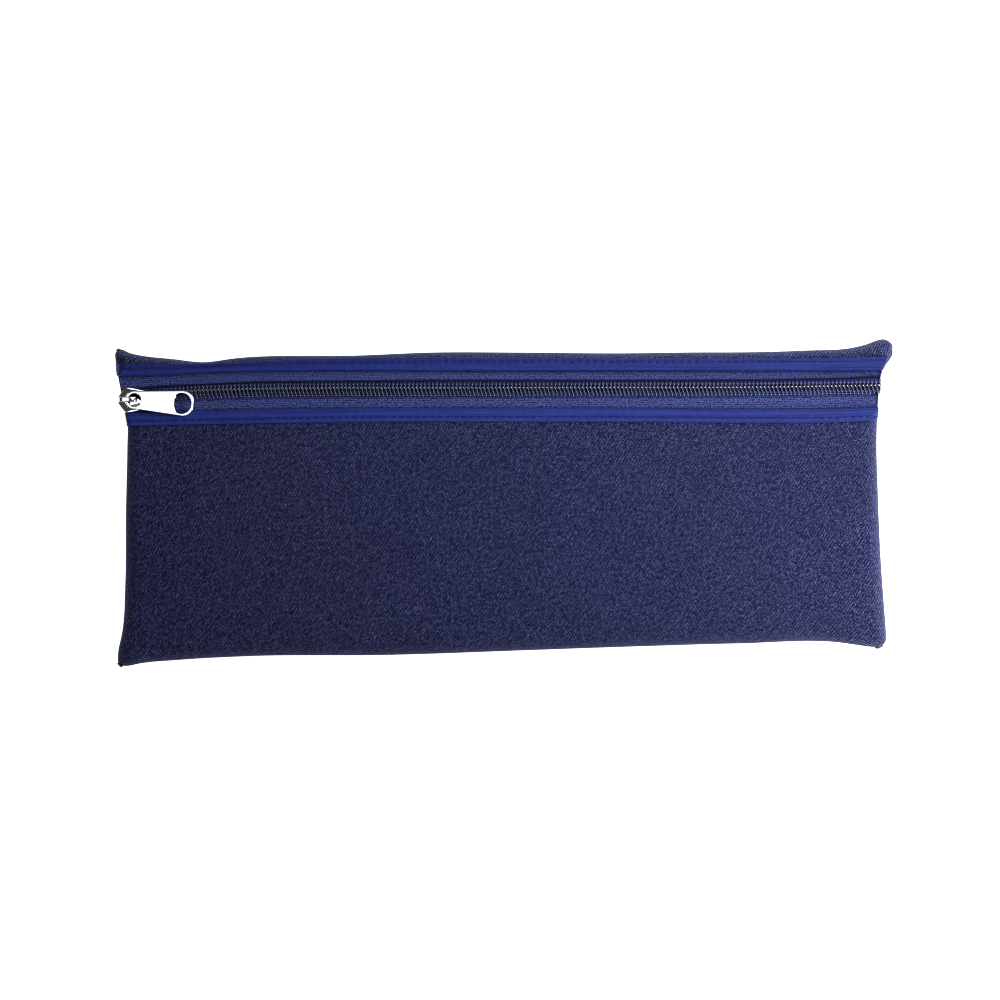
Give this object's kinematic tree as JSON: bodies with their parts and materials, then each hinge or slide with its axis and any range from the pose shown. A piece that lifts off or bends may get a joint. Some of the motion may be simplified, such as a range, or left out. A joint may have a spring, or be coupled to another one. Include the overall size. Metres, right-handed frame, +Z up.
{
  "type": "pencil case",
  "caption": "Flat denim pencil case with a nylon coil zip near its top edge, satin bound edges and a metal slider with a long pull tab.",
  "frame": {"origin": "on the resting surface, under the middle of the case's footprint", "axes": "+X along the zip towards the end where it opens last, +Y towards the zip's edge of the case, +Z up out of the front face; the case lies on its back"},
  "size_m": [0.3298, 0.1314, 0.0163],
  "materials": {
    "denim": "dark indigo twill with pale slubs",
    "satin_binding": "folded satin ribbon, soft sheen",
    "zip_tape": "woven herringbone tape",
    "nylon_coil": "glossy nylon monofilament",
    "topstitch_thread": "spun polyester thread",
    "seam_thread": "spun polyester thread",
    "overlock_thread": "textured overlock thread",
    "nickel_plate": "polished nickel plate on zinc"
  },
  "bodies": {
    "root": {"rear_panel": "denim", "upper_zip_tape": "zip_tape", "upper_coil": "nylon_coil", "upper_binding": "satin_binding", "upper_topstitch": "topstitch_thread", "lower_zip_tape_left_end": "zip_tape", "lower_coil_left_end": "nylon_coil", "lower_binding_left_end": "satin_binding", "lower_topstitch_left_end": "topstitch_thread", "lower_zip_tape_right_end": "zip_tape", "lower_coil_right_end": "nylon_coil", "lower_binding_right_end": "satin_binding", "lower_topstitch_right_end": "topstitch_thread", "left_seam_thread": "seam_thread", "left_overlock": "overlock_thread", "right_seam_thread": "seam_thread", "right_overlock": "overlock_thread", "bottom_seam_thread": "seam_thread", "bottom_overlock": "overlock_thread"},
    "front": {"front_panel": "denim", "lower_zip_tape": "zip_tape", "lower_coil": "nylon_coil", "lower_binding": "satin_binding", "lower_topstitch": "topstitch_thread"},
    "slider": {"slider_body": "nickel_plate", "slider_crown": "nickel_plate"},
    "pull": {"pull_tab": "nickel_plate"}
  },
  "joints": [
    {"name": "mouth", "type": "hinge", "parent": "root", "child": "front", "pos_m": [-0.0001, -0.06574, 0.0055], "axis": [1, 0, 0], "range_deg": [0, 16]},
    {"name": "slider_travel", "type": "slide", "parent": "root", "child": "slider", "axis": [1, 0, 0], "range_m": [0, 0.3], "deforming": ["upper_coil", "lower_coil", "lower_coil_left_end", "lower_coil_right_end"]},
    {"name": "pull_swing", "type": "hinge", "parent": "slider", "child": "pull", "pos_m": [-0.1593, 0.04506, 0.0142], "axis": [-0.0872, -0.9962, 0], "range_deg": [0, 175]}
  ]
}
